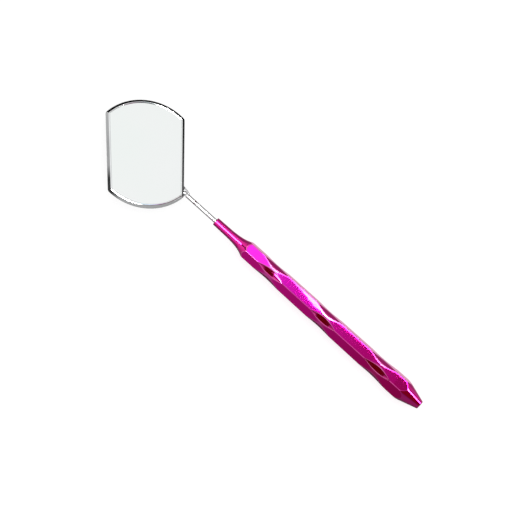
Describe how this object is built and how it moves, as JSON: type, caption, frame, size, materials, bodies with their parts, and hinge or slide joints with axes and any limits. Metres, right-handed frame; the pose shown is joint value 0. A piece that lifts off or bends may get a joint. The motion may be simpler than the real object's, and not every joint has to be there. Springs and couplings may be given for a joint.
{
  "type": "mouth mirror",
  "caption": "Hand-held mouth mirror with a framed, flat-sided round glass on a thin stem that screws into a waisted hexagonal metal handle.",
  "frame": {"origin": "centre of the flat round face at the tail end of the handle", "axes": "+X along the handle's axis, out of its tail; +Z out of the hexagon flat that faces up with the mirror; the mirror head lies at the -X end"},
  "size_m": [0.1951, 0.0521, 0.0118],
  "materials": {
    "anodised_aluminium": "glossy magenta anodising",
    "stainless_steel": "fine satin, drawn and pressed",
    "solder": "wiped solder, slightly dull",
    "polished_steel": "mirror polished",
    "silvered_glass": "clear silvered glass, very slightly green",
    "silvering": "silver layer with its backing",
    "cement": "off-white bedding cement",
    "sealant": "translucent sealant"
  },
  "bodies": {
    "handle": {"handle": "anodised_aluminium"},
    "ferrule": {"thread_ferrule": "stainless_steel"},
    "head": {"stem": "stainless_steel", "solder_joint": "solder", "head_case": "stainless_steel", "cement_bed": "cement", "silver_coating": "silvering", "mirror_glass": "silvered_glass", "edge_seal": "sealant", "rim_bezel": "polished_steel"}
  },
  "joints": [
    {"name": "unscrew_travel", "type": "slide", "parent": "handle", "child": "ferrule", "axis": [-1, 0, 0], "range_m": [0, 0.00462]},
    {"name": "unscrew_turn", "type": "hinge", "parent": "ferrule", "child": "head", "pos_m": [-0.125, 0, 0], "axis": [-1, 0, 0], "range_deg": [0, 3690]}
  ],
  "couplings": [
    {"joint": "unscrew_travel", "follows": "unscrew_turn", "m_per_rad": 0.00007162}
  ]
}
